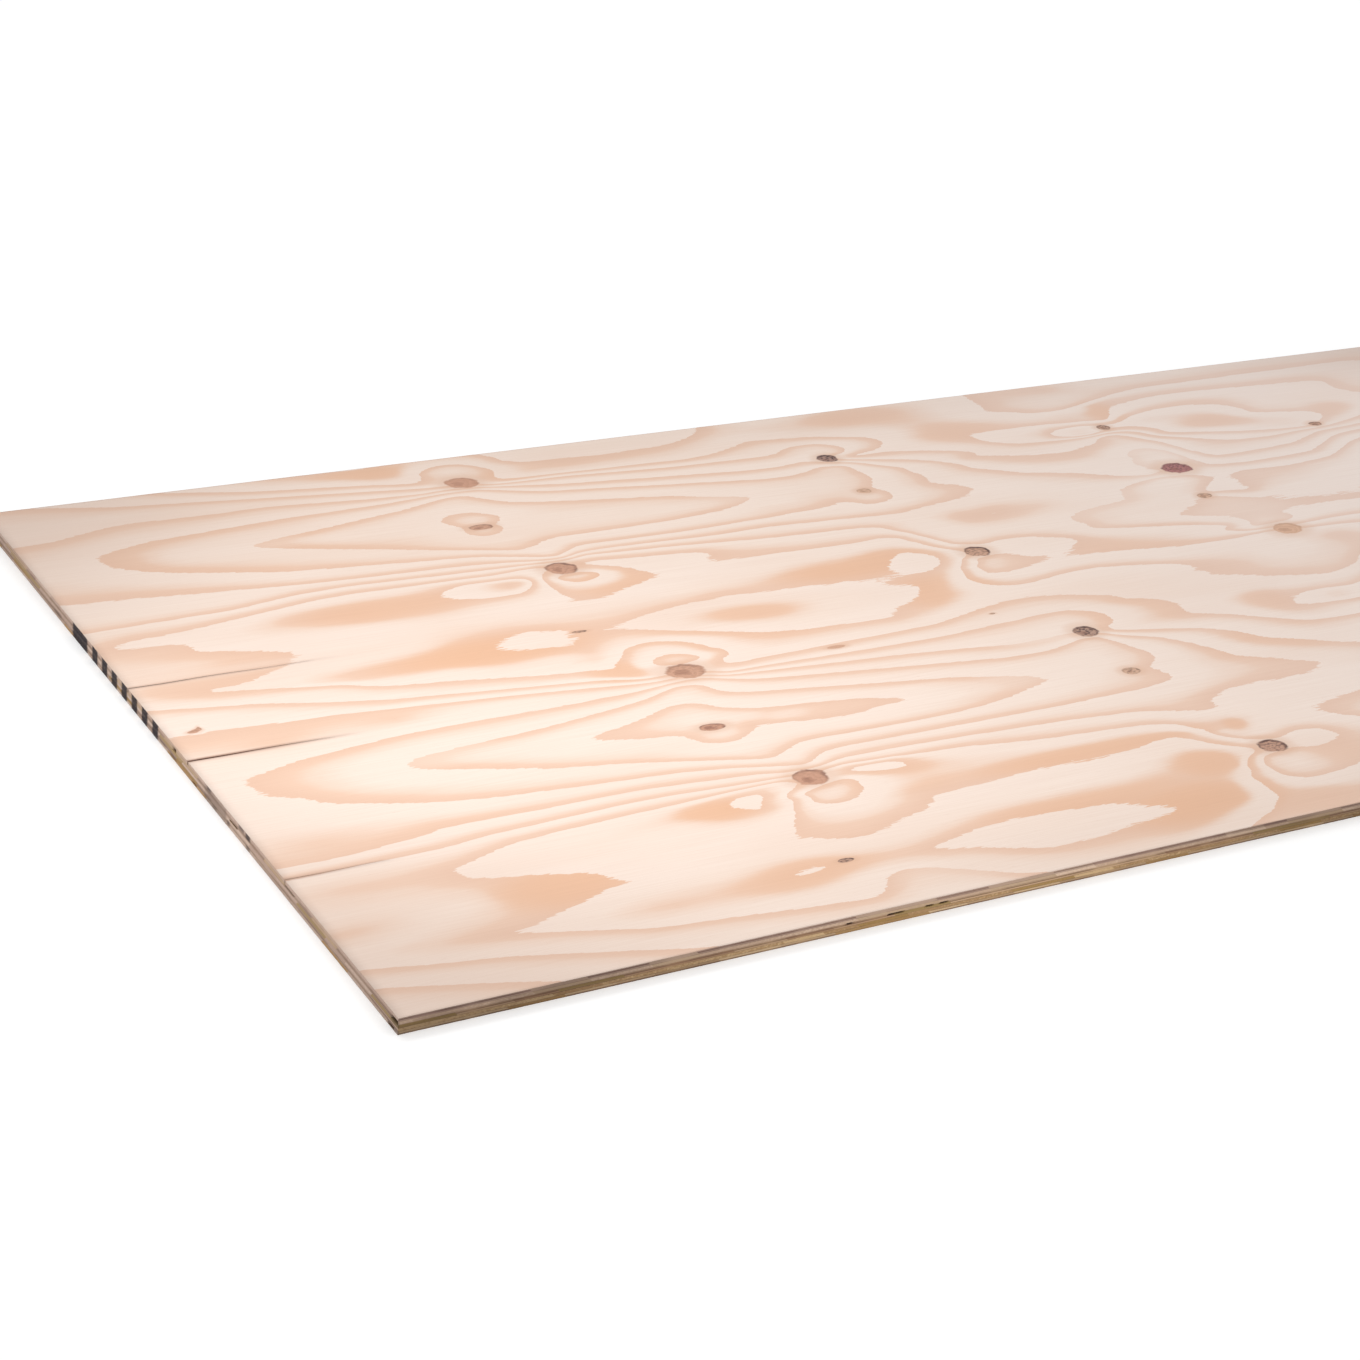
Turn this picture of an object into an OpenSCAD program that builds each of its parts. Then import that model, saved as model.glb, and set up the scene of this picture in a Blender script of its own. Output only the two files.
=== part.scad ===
// Softwood plywood sheet: five rotary-cut pine veneers glued face to face,
// with the grain of each one turned across that of the next.
// It lies flat with its face up. The origin is the middle of the underside,
// +X runs along the sheet and along the face grain, and +Z points up.

/* [Sheet] */
// Length of the sheet, along the face grain
sheet_length = 2440; // [1200:10:3050]
// Width of the sheet, across the face grain
sheet_width = 1220; // [900:10:1525]

/* [Veneers] */
// Thickness of the face veneer
face_t = 3.6; // [1.2:0.1:5]
// Thickness of each crossband, whose grain runs across the sheet
crossband_t = 3.6; // [1.2:0.1:5]
// Thickness of the core veneer
core_t = 3.6; // [1.2:0.1:5]
// Thickness of the back veneer
back_t = 3.6; // [1.2:0.1:5]

/* [End splits] */
// Place of each split in the face veneer, from the sheet's +Y edge
split_inset = [512, 693, 955]; // [5:1:1500]
// Length of each split, along the grain from the sheet's -X end
split_length = [215, 165, 105]; // [20:5:400]
// Width of each split at the sheet's end, where it is open widest
split_mouth = [0.8, 1.4, 1]; // [0.2:0.1:4]

/* [Hidden] */

// Underside of each veneer, counted up from the floor
back_z = 0;
lower_crossband_z = back_z + back_t;
core_z = lower_crossband_z + crossband_t;
upper_crossband_z = core_z + core_t;
face_z = upper_crossband_z + crossband_t;

end_x = -sheet_length / 2;
far_edge_y = sheet_width / 2;
// How far a cutting shape runs past the faces that it cuts
overrun = 1;

// One full-size veneer, with its underside at the given height
module veneer(bottom, thickness) {
    translate([end_x, -far_edge_y, bottom])
        cube([sheet_length, sheet_width, thickness]);
}

// A drying split: a wedge that is open at the sheet's end and closes along the grain
module end_split(inset, length, mouth) {
    widening = mouth / length;
    outer_half = (length + overrun) * widening / 2;
    translate([end_x, far_edge_y - inset, face_z - overrun])
        linear_extrude(height = face_t + 2 * overrun)
            polygon([[length, 0], [-overrun, outer_half], [-overrun, -outer_half]]);
}

// Face veneer, with the splits that opened at its end
module face_veneer() {
    color([0.95, 0.85, 0.73])
        difference() {
            veneer(face_z, face_t);
            for (i = [0 : len(split_inset) - 1])
                end_split(split_inset[i], split_length[i], split_mouth[i]);
        }
}

// First crossband under the face
module upper_crossband() {
    color([0.74, 0.62, 0.47]) veneer(upper_crossband_z, crossband_t);
}

// Middle veneer, with its grain along the sheet
module core_veneer() {
    color([0.86, 0.74, 0.58]) veneer(core_z, core_t);
}

// Second crossband, over the back
module lower_crossband() {
    color([0.74, 0.62, 0.47]) veneer(lower_crossband_z, crossband_t);
}

// Back veneer, which the sheet lies on
module back_veneer() {
    color([0.9, 0.78, 0.62]) veneer(back_z, back_t);
}

face_veneer();
upper_crossband();
core_veneer();
lower_crossband();
back_veneer();
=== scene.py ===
"""Softwood plywood sheet of five plies: figured and knotted faces, sawn edges, end splits."""

import bpy
import numpy as np
from mathutils import Matrix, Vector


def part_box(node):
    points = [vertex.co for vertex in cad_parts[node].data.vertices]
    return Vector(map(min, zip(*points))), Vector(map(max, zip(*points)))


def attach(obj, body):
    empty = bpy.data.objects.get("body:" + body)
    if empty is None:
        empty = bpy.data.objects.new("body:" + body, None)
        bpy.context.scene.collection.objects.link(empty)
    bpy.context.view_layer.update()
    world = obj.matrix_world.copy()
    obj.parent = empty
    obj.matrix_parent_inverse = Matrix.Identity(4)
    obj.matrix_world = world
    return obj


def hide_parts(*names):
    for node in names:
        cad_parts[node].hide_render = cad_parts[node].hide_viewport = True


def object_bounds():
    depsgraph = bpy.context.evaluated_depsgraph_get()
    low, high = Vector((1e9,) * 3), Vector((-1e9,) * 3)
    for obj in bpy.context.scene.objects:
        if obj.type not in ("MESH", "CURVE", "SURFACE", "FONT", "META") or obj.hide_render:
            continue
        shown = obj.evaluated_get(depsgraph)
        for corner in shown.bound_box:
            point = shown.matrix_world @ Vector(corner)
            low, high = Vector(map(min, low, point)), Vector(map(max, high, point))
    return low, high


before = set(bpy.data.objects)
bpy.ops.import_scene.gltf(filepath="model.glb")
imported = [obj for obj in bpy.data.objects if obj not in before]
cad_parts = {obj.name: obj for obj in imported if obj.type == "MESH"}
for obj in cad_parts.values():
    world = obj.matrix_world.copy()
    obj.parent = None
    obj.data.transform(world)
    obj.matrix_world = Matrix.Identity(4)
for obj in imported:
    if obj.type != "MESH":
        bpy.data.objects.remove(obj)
cad_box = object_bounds()

# Sizes
# Places on a veneer are in mm: x from the sheet's -X end, v from its +Y edge.
MM = 0.001
SHEET_LOW, SHEET_HIGH = cad_box
SHEET_LENGTH = (SHEET_HIGH[0] - SHEET_LOW[0]) / MM
SHEET_WIDTH = (SHEET_HIGH[1] - SHEET_LOW[1]) / MM
EDGE_STEP = 2.5
EDGE_ROWS = 6
FINE_COLUMN = 6.0
COARSE_COLUMN = 13.0
FACE_ROW = 4.0
BACK_ROW = 8.0
FACE_RELIEF = 0.12
SAW_MARK = 0.10
SAW_WAVE = 0.15

# End splits of the face veneer: v, length, width at the mouth, height of the wander, and from 0 to 1
# how brown the wood beside it is
SPLITS = [(512, 215, 0.8, 0.8, 0.45), (693, 165, 1.4, 0.4, 1.0), (955, 105, 0.4, 0.4, 0.4)]
# The path of a split: mm to a radian of its wander, mm in which the wander grows from the sheet's end and
# dies out past the tip, mm to each side in which the grain bends along with it, and mm that are stained.
# The stain ends at STAIN_LENGTH times the split's length.
WANDER_LENGTH = 21.0
WANDER_START = 40.0
WANDER_END = 60.0
BEND_REACH = 25.0
STAIN_REACH = 2.5
STAIN_LENGTH = 1.2
STAIN_CURVE = 0.7

# Knots stand in whorls across the sheet, where the mesh has finer columns
WHORLS = [585, 1138, 1603, 1941, 2228]
WHORL_REACH = 70

# Knots of the face veneer: x, v, half length, half width, then from 0 to 1 how dark the rim is,
# how much the heart is flecked with bark, and how far it goes from pale over brown to red
KNOTS = [
    (611, 86, 23, 17, 0.15, 0.05, 0.35), (569, 227, 17, 8, 0.5, 0.2, 0.3),
    (608, 374, 21, 17, 0.7, 0.15, 0.35), (543, 545, 10, 3, 0.9, 0.6, 0.1),
    (610, 680, 25, 18, 0.3, 0.15, 0.3), (567, 814, 17, 8, 0.55, 0.25, 0.4),
    (609, 954, 21, 17, 0.5, 0.12, 0.35), (546, 1122, 10, 4, 0.8, 0.8, 0.0),
    (1136, 158, 15, 13, 0.7, 1.0, 0.15), (1121, 275, 11, 8, 0.2, 0.2, 0.0),
    (1151, 498, 18, 15, 1.0, 0.5, 0.2), (1137, 749, 17, 15, 0.7, 0.85, 0.0),
    (1122, 859, 12, 9, 0.3, 0.45, 0.0), (1156, 1076, 18, 15, 1.0, 0.6, 0.25),
    (1604, 176, 11, 9, 0.6, 0.7, 0.1), (1608, 340, 24, 18, 0.5, 0.6, 1.0),
    (1580, 437, 12, 8, 0.3, 0.4, 0.0), (1617, 569, 23, 17, 0.15, 0.05, 0.05),
    (1604, 761, 11, 9, 0.35, 0.5, 0.1), (1608, 925, 24, 18, 0.5, 0.4, 0.8),
    (1580, 1022, 12, 8, 0.1, 0.15, 0.0), (1617, 1154, 23, 17, 0.15, 0.05, 0.05),
    (1938, 259, 11, 8, 0.6, 0.55, 0.2), (1938, 844, 11, 8, 0.6, 0.55, 0.2),
    (2228, 470, 16, 13, 0.4, 0.2, 0.1), (2228, 1055, 16, 13, 0.4, 0.2, 0.1),
    (30, 632, 7, 3, 0.0, 0.2, 0.3), (37, 627, 3, 5, 0.0, 0.2, 0.3), (1055, 666, 4, 2, 0.6, 0.4, 0.0),
    (815, 683, 12, 4, 0.0, 0.0, 0.2),
]

# Distances from a knot in its radii. Past KNOT_SURROUND the third part of a place's vector climbs by
# KNOT_CLIMB to a radius, towards that of FAR_FROM_KNOTS, so that no knot is drawn halfway between two.
KNOT_SURROUND = 2.5
KNOT_LIMIT = 4.0
KNOT_CLIMB = 3.0
KNOT_SHOULDER = 1.6
FAR_FROM_KNOTS = (0.0, 0.0, 9.0)

# Small hollows in the sawn edges, cut in and painted dark as shade: side, start and end in mm along it,
# lowest and highest mm above the floor, depth in mm
HOLLOWS = [
    ("left", 0, 14, 10.8, 14.4, 5.0), ("left", 9, 20, 0.9, 3.2, 4.0),
    ("left", 240, 268, 11.9, 13.1, 2.0), ("left", 387, 410, 9.5, 10.8, 2.0),
    ("left", 500, 514, 1.1, 2.5, 2.0), ("left", 560, 571, 10.5, 15.5, 3.0),
    ("near", 484, 493, 9.5, 10.8, 2.5), ("near", 533, 554, 9.5, 10.8, 2.5),
    ("near", 579, 590, 9.5, 10.8, 2.5), ("near", 596, 608, 9.5, 10.8, 2.5),
    ("far", 1530, 1556, 4.7, 6.5, 3.0), ("right", 310, 352, 12.2, 14.0, 3.0),
    ("right", 870, 892, 4.3, 5.8, 3.0),
]

# Smudges of ink and dirt on the -X end: start and end in mm from the -Y corner, lowest and highest mm
# above the floor, and from 0 to 1 how dark it is
SMUDGES = [
    (352, 368, 11, 19, 0.8), (368, 386, 13, 19, 0.6), (352, 366, 0, 6, 0.6), (416, 480, 0, 18, 0.3),
    (458, 474, 13, 19, 0.7), (441, 459, 0, 6, 0.55), (406, 418, 1, 8, 0.6), (557, 579, 1, 5, 0.6),
    (590, 611, 2, 6, 0.5), (-6, 18, 7, 14, 0.5), (-6, 24, 0, 5, 0.5), (928, 957, 2, 9, 0.3),
]

# Plain ink bars on the -X end, evenly spaced and closed by a block, in mm from the -Y corner
INK_BARS = [(start, start + 22) for start in range(612, 830, 32)] + [(838, 892)]

# Fading in mm: at the ends of each kind of mark, and at a smudge's top and bottom. Wear takes up to
# INK_WEAR off each end of an ink bar and leaves it INK_LEAST to 1 dark. A hollow's lowest and highest
# rows may be off by HEIGHT_ROUNDING.
HOLLOW_FADE = 3.0
SMUDGE_FADE = 4.0
INK_FADE = 1.5
SMUDGE_SOFTNESS = 1.5
INK_WEAR = 3.0
INK_LEAST = 0.85
HEIGHT_ROUNDING = 0.01

# Plies by their CAD nodes: the piece's name, the direction of its grain, its tones on the sawn edges, as
# pale and dark long grain, pale and dark end grain and odd strips, and the height of a dark line of late
# wood, from 0 to 1
PLIES = {
    "face_veneer": (
        "face_ply", "X", (218, 188, 168), (186, 154, 140), (220, 194, 178), (198, 170, 154),
        (204, 174, 152), 0.5),
    "upper_crossband": (
        "upper_crossband_ply", "Y", (210, 182, 162), (184, 156, 138), (240, 210, 184), (214, 182, 156),
        (204, 174, 142), 0.5),
    "core_veneer": (
        "core_ply", "X", (222, 186, 148), (190, 150, 116), (218, 192, 174), (196, 168, 152),
        (172, 144, 92), 0.62),
    "lower_crossband": (
        "lower_crossband_ply", "Y", (208, 180, 160), (182, 154, 136), (230, 196, 150), (188, 150, 108),
        (176, 140, 84), 0.4),
    "back_veneer": (
        "back_ply", "X", (232, 200, 160), (198, 164, 128), (214, 190, 174), (190, 164, 148),
        (184, 144, 92), 0.25),
}
FIRST_SEED = 11
# Strips of veneer in a ply, and how far they shift with the height of its dark line
STRIPS_PER_METRE = 17.0
STRIP_SHIFT = 9.0
# Metres from a long side's middle to where it is palest
PALEST_PLACE = 0.57

# Floor, sky and lamp, in metres and watts. The floor's glow adds to its shade where the camera or a
# reflection sees it.
FLOOR_REACH = 30.0
FLOOR_SHADE = 0.8
FLOOR_GLOW = 0.33
SKY_LEVEL = 0.86
LAMP_PLACE = (-0.98, -0.15, 0.62)
LAMP_SIZE = (1.24, 0.23)
LAMP_POWER = 1.75
LAMP_TINT = (1.0, 0.99, 0.97)

# Camera, in the frame's metres
CAMERA_PLACE = (-2.1756, -2.5468, 1.4201)
CAMERA_RIGHT = (0.8649, -0.4942, 0.0881)
CAMERA_UP = (0.1477, 0.4182, 0.8963)
CAMERA_LENS = 74.64

# Figure of the face veneer
# The veneer is peeled from the log, so its figure comes round again every TURN and loses DRIFT of a
# ring each time. What is placed below ends at x = PLACED_REACH - PLACED_SLOPE * v.
TURN = 585.0
DRIFT = 0.3
PLACED_REACH = 2330.0
PLACED_SLOPE = 0.9
# Late wood: its width in mm, the least and the most of a ring that it takes up, and what a rich patch adds
LATE_WIDTH = 10.0
LEAST_LATE = 0.24
MOST_LATE = 0.42
RICH_LATE = 0.15
# Fit of the rings: how many times further a point reaches along the grain than across it, the most mm
# between two points of a line, and how freely the surface may pass beside them
GRAIN_STRETCH = 2.4
LINE_STEP = 30.0
SMOOTHING = 60.0
# Each line is an edge where dark late wood meets the next ring's pale early wood, listed under
# the number of its ring
RING_EDGES = {
    0: [
        [(425, 796), (450, 785), (515, 768), (535, 757), (560, 752), (580, 757), (600, 776),
         (640, 792), (760, 808), (818, 826), (735, 840), (690, 837), (606, 822), (592, 843),
         (573, 853), (552, 848), (520, 817), (485, 814), (450, 804)],
        [(536, 206), (540, 188), (555, 180), (573, 181), (592, 190), (604, 207)],
        [(553, 244), (561, 253), (575, 253), (583, 244)],
    ],
    1: [
        [(273, 196), (300, 185), (500, 147), (565, 128), (585, 126), (640, 164), (690, 178),
         (850, 210), (940, 241), (957, 249), (930, 264), (895, 274), (800, 284), (640, 285),
         (592, 304), (575, 306), (300, 208)],
        [(215, 780), (240, 767), (380, 754), (490, 737), (530, 729), (577, 711), (598, 714),
         (625, 743), (660, 754), (900, 801), (990, 829), (1005, 841), (985, 852), (940, 865),
         (890, 874), (840, 879), (780, 880), (655, 877), (630, 883), (594, 900), (575, 898),
         (450, 860), (360, 840), (235, 797)],
    ],
    2: [
        [(625, 114), (575, 112), (480, 121), (320, 128), (160, 143), (100, 161), (87, 183), (100, 206),
         (140, 232), (275, 275), (530, 311), (588, 331)],
        [(640, 121), (700, 144), (1000, 196), (1050, 199), (1085, 193), (1112, 183)],
        [(1145, 188), (1157, 238), (1138, 268)],
        [(1146, 284), (1148, 299), (1134, 312), (1108, 317), (1074, 298), (1055, 305), (940, 315),
         (800, 320), (660, 317), (624, 340)],
        [(625, 703), (600, 701), (530, 709), (450, 712), (300, 712), (230, 716), (120, 730), (85, 738),
         (36, 758), (50, 786), (115, 833), (210, 865), (270, 875), (480, 896), (535, 905), (585, 919)],
        [(645, 712), (670, 723), (710, 732), (1000, 778), (1060, 779), (1122, 765)],
        [(1146, 766), (1176, 828), (1166, 845), (1148, 858), (1163, 883), (1152, 894), (1110, 902),
         (960, 906), (665, 905), (643, 913), (622, 928)],
        [(1590, 441), (1630, 458), (1680, 482), (1740, 492), (1810, 497)],
        [(1570, 445), (1545, 462), (1502, 488), (1565, 505), (1578, 528), (1572, 550)],
        [(1640, 545), (1645, 522), (1670, 509), (1740, 510), (1800, 515)],
    ],
    3: [
        [(0, 112), (50, 109), (130, 86), (170, 83), (270, 88), (330, 84), (490, 102), (550, 105)],
        [(643, 110), (740, 130), (1000, 163), (1060, 164), (1100, 158)],
        [(1166, 183), (1214, 216), (1229, 251), (1226, 283), (1250, 291), (1267, 305), (1259, 326),
         (1225, 338), (1120, 356), (930, 341), (850, 343), (710, 336), (650, 337)],
        [(0, 284), (110, 294), (290, 318), (500, 330), (560, 338)],
        [(0, 640), (60, 640), (190, 647), (400, 670), (550, 692)],
        [(650, 705), (900, 730), (1030, 750), (1090, 748)],
        [(0, 933), (50, 934), (165, 924), (183, 915), (420, 915), (560, 928)],
        [(660, 928), (730, 927), (950, 938), (1010, 944), (1060, 950), (1146, 977), (1155, 960),
         (1175, 945), (1215, 937)],
        [(1352, 481), (1356, 467), (1344, 455), (1357, 438), (1380, 427), (1458, 417), (1487, 379),
         (1510, 370)],
        [(1370, 488), (1500, 518), (1545, 534)],
        [(1628, 378), (1599, 430)],
        [(1655, 440), (1662, 410), (1672, 385), (1700, 377), (1780, 383), (1870, 372), (1940, 335)],
        [(1166, 768), (1214, 792), (1258, 838), (1274, 868), (1315, 890), (1365, 918), (1320, 938),
         (1215, 937)],
        [(1360, 1000), (1310, 1005), (1280, 1014), (1284, 1032), (1300, 1046)],
        [(0, 1168), (70, 1187), (140, 1210)],
    ],
    4: [
        [(60, 3), (160, 29), (570, 90)],
        [(650, 103), (760, 106), (900, 120), (1040, 126), (1073, 125), (1090, 112), (1117, 105),
         (1146, 105), (1166, 115), (1179, 131), (1172, 147)],
        [(1172, 172), (1245, 195), (1285, 215), (1306, 231), (1314, 248), (1370, 284), (1455, 314),
         (1500, 337), (1540, 349), (1572, 348)],
        [(0, 365), (180, 358), (280, 342), (340, 340), (560, 352)],
        [(650, 348), (760, 356), (900, 372), (1030, 381), (1072, 389), (1134, 468)],
        [(1172, 478), (1210, 473), (1245, 478), (1302, 499), (1268, 548), (1440, 570), (1520, 573),
         (1585, 568)],
        [(1166, 514), (1229, 541), (1218, 551), (1150, 564), (1120, 560), (1117, 540), (1127, 518)],
        [(0, 570), (110, 592), (210, 621), (270, 634), (510, 670), (560, 683)],
        [(655, 698), (950, 702), (1140, 688), (1168, 695), (1187, 706), (1194, 721), (1187, 739),
         (1172, 747)],
        [(0, 957), (170, 953), (220, 946), (390, 937), (450, 937), (570, 946)],
        [(680, 945), (800, 951), (910, 968), (1045, 980), (1075, 989), (1137, 1052)],
        [(583, 655), (592, 641), (612, 635), (632, 640), (646, 656)],
        [(575, 985), (580, 1003), (597, 1012), (617, 1013), (637, 1002), (650, 985), (650, 968)],
        [(588, 398), (598, 412), (614, 419), (632, 413), (642, 396)],
        [(1566, 335), (1562, 300), (1575, 272), (1595, 262), (1620, 265), (1640, 282), (1652, 315),
         (1668, 345), (1720, 352), (1800, 352), (1870, 340), (1930, 308)],
        [(1172, 757), (1245, 777), (1290, 792), (1325, 814), (1345, 838), (1400, 864), (1430, 882)],
        [(0, 1133), (60, 1146), (130, 1160), (200, 1180), (280, 1205), (330, 1218)],
        [(1172, 1062), (1205, 1052), (1238, 1058), (1252, 1075), (1242, 1090), (1205, 1095),
         (1172, 1088)],
        [(1126, 1092), (1113, 1112), (1118, 1138), (1145, 1152), (1195, 1150), (1235, 1142)],
    ],
    5: [
        [(235, 5), (340, 33), (500, 59), (545, 71)],
        [(560, 66), (568, 44), (583, 30), (606, 23), (632, 25), (653, 39), (668, 59), (663, 76)],
        [(672, 92), (945, 101), (990, 95), (1025, 85), (1066, 64), (1080, 72), (1160, 80), (1231, 105),
         (1243, 120), (1240, 136), (1225, 146), (1175, 157)],
        [(1175, 162), (1205, 160), (1245, 164), (1290, 175), (1340, 191), (1364, 217), (1445, 239),
         (1490, 241), (1535, 231), (1565, 220), (1588, 203)],
        [(575, 362), (520, 367), (330, 361), (280, 365), (130, 391), (30, 402), (18, 410), (40, 419),
         (95, 424), (107, 451), (187, 477), (197, 494), (178, 516), (140, 535), (85, 552), (220, 580),
         (265, 600), (460, 638), (540, 645), (567, 608), (586, 600), (608, 598), (632, 603),
         (654, 616), (681, 651), (657, 674)],
        [(650, 364), (796, 383), (798, 402), (812, 414), (860, 420), (1000, 423), (1060, 420),
         (1080, 429), (1107, 470), (1127, 486)],
        [(570, 400), (573, 449), (590, 463), (612, 468), (697, 434), (706, 422), (680, 395), (660, 384)],
        [(1128, 508), (1105, 530), (1092, 558), (1097, 583), (1115, 598), (1148, 605), (1215, 593),
         (1270, 591), (1330, 601), (1388, 617), (1412, 660), (1500, 692),
         (1570, 708), (1620, 695), (1660, 668)],
        [(680, 680), (970, 669), (1090, 641), (1130, 641), (1180, 651), (1238, 671), (1245, 685),
         (1285, 699), (1302, 720), (1303, 750), (1345, 767), (1395, 795), (1440, 817), (1520, 823)],
        [(570, 950), (300, 963), (240, 969), (168, 990), (163, 1003), (172, 1020), (270, 1044),
         (297, 1057), (311, 1074), (255, 1098), (162, 1126), (300, 1168), (500, 1195), (540, 1197),
         (575, 1166), (595, 1160), (625, 1168), (690, 1205)],
        [(662, 958), (668, 948), (718, 950), (707, 970), (655, 962)],
        [(580, 970), (524, 1060), (550, 1075), (580, 1085), (610, 1080), (650, 1066), (690, 1060),
         (705, 1043), (750, 1034), (900, 1026), (1000, 1026), (1045, 1018), (1068, 1018), (1102, 1055),
         (1130, 1072)],
        [(1126, 1083), (1107, 1092), (1094, 1115), (1086, 1140), (1074, 1180), (1050, 1199), (1020, 1212)],
        [(1625, 222), (1648, 245), (1668, 285), (1695, 318), (1760, 320), (1850, 312), (1925, 285)],
        [(1474, 5), (1481, 73), (1540, 95), (1575, 97), (1615, 90), (1710, 62), (1770, 51), (2180, 45)],
    ],
    6: [
        [(680, 8), (692, 30), (715, 43), (770, 49), (850, 52), (920, 50), (965, 41), (1000, 24),
         (1018, 6)],
        [(430, 408), (443, 388), (470, 380), (545, 386), (552, 405), (530, 425), (480, 424)],
        [(430, 552), (445, 536), (480, 527), (518, 530), (527, 552), (520, 577), (480, 574), (448, 566)],
        [(565, 553), (645, 526), (700, 517), (770, 512), (965, 527), (1003, 523), (1018, 495),
         (1038, 478), (1065, 472), (1087, 488), (1083, 515), (1066, 529), (983, 536), (975, 551),
         (1017, 569), (985, 601), (950, 608), (933, 636), (800, 628), (750, 618), (605, 561)],
        [(494, 975), (505, 966), (530, 967), (541, 975), (530, 996), (512, 988)],
        [(483, 1126), (500, 1120), (518, 1124), (505, 1131)],
        [(663, 1126), (700, 1117), (760, 1112), (830, 1116), (890, 1123), (947, 1144), (943, 1163),
         (925, 1171), (870, 1172), (830, 1179), (770, 1179), (725, 1166), (690, 1148)],
        [(1560, 144), (1510, 137), (1440, 137), (1402, 142), (1388, 158), (1404, 178), (1440, 193),
         (1500, 199), (1555, 199)],
        [(1632, 152), (1668, 112), (1700, 99), (1750, 89), (1830, 87), (2065, 103), (2087, 120),
         (2085, 150)],
        [(1660, 224), (1735, 264), (1775, 277), (1830, 280), (1890, 274)],
        [(1560, 747), (1500, 743), (1466, 758), (1480, 778), (1545, 783)],
    ],
    7: [
        [(1575, 160), (1530, 162), (1512, 172), (1514, 186), (1535, 194), (1570, 194)],
        [(1640, 163), (1680, 146), (1730, 136), (1790, 134), (1840, 146), (1870, 166), (1872, 190)],
        [(1690, 221), (1800, 249), (1870, 260), (1915, 263)],
    ],
}

# Patches of stronger late wood: x, v, reach along x and v, then from 0 to 1 how much broader it is
# and how much more orange
RICH_PATCHES = [
    (410, 560, 140, 42, 1.0, 1.0), (350, 412, 115, 36, 0.7, 0.65), (500, 22, 80, 24, 0.7, 0.7),
    (250, 1065, 85, 42, 0.9, 0.9), (490, 1130, 95, 36, 0.6, 0.6), (970, 480, 130, 45, 0.9, 0.9),
    (1040, 590, 80, 55, 0.8, 0.8), (780, 560, 100, 30, 0.6, 0.55), (1060, 1080, 60, 45, 0.9, 0.9),
    (990, 1155, 120, 50, 1.0, 1.0), (880, 1110, 150, 40, 0.7, 0.7), (720, 990, 90, 35, 0.4, 0.4),
    (650, 430, 70, 40, 0.6, 0.6), (1280, 45, 120, 50, 0.5, 0.4), (1360, 120, 110, 45, 0.5, 0.4),
    (200, 210, 240, 90, 0.4, 0.25), (150, 790, 200, 90, 0.15, 0.15), (700, 610, 160, 50, 0.2, 0.4),
    (1400, 540, 130, 40, 0.4, 0.4), (1230, 720, 90, 50, 0.5, 0.4), (1642, 125, 36, 45, 0.2, 0.9),
    (1850, 60, 300, 60, 1.0, 0.0), (1450, 240, 160, 40, 0.9, 0.1), (100, 670, 200, 30, 0.5, 0.2),
    (120, 905, 180, 35, 0.7, 0.2), (90, 500, 120, 70, 0.7, 0.2), (950, 1012, 180, 22, 0.8, 0.8),
    (1150, 1016, 18, 15, 1.0, 0.8), (1785, 193, 85, 35, 1.0, 0.5), (1420, 748, 45, 38, 0.8, 0.4),
    (535, 655, 40, 30, 1.0, 0.7), (690, 75, 40, 25, 0.8, 0.5), (1790, 130, 110, 25, 0.8, 0.2),
    (1350, 845, 110, 45, 0.9, 0.5), (470, 985, 55, 25, 0.7, 1.0), (1225, 1115, 50, 25, 1.0, 0.2),
    (1120, 1195, 70, 35, 0.8, 0.3), (1660, 200, 70, 60, 0.8, 0.3), (2020, 215, 50, 35, 1.0, 0.4),
]

# Patches of fainter late wood: x, v, reach along x and v, and from 0 to 1 how much fainter it is
FAINT_PATCHES = [
    (1600, 295, 62, 58, 0.6), (1600, 505, 90, 50, 0.35), (1430, 420, 140, 60, 0.4),
    (950, 832, 70, 20, 0.4), (905, 242, 60, 20, 0.4), (265, 775, 80, 22, 0.35), (300, 192, 50, 18, 0.3),
    (110, 506, 110, 14, 0.4), (1070, 748, 60, 12, 0.6), (1560, 360, 90, 16, 0.4),
    (640, 1185, 70, 35, 0.4),
]

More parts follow.
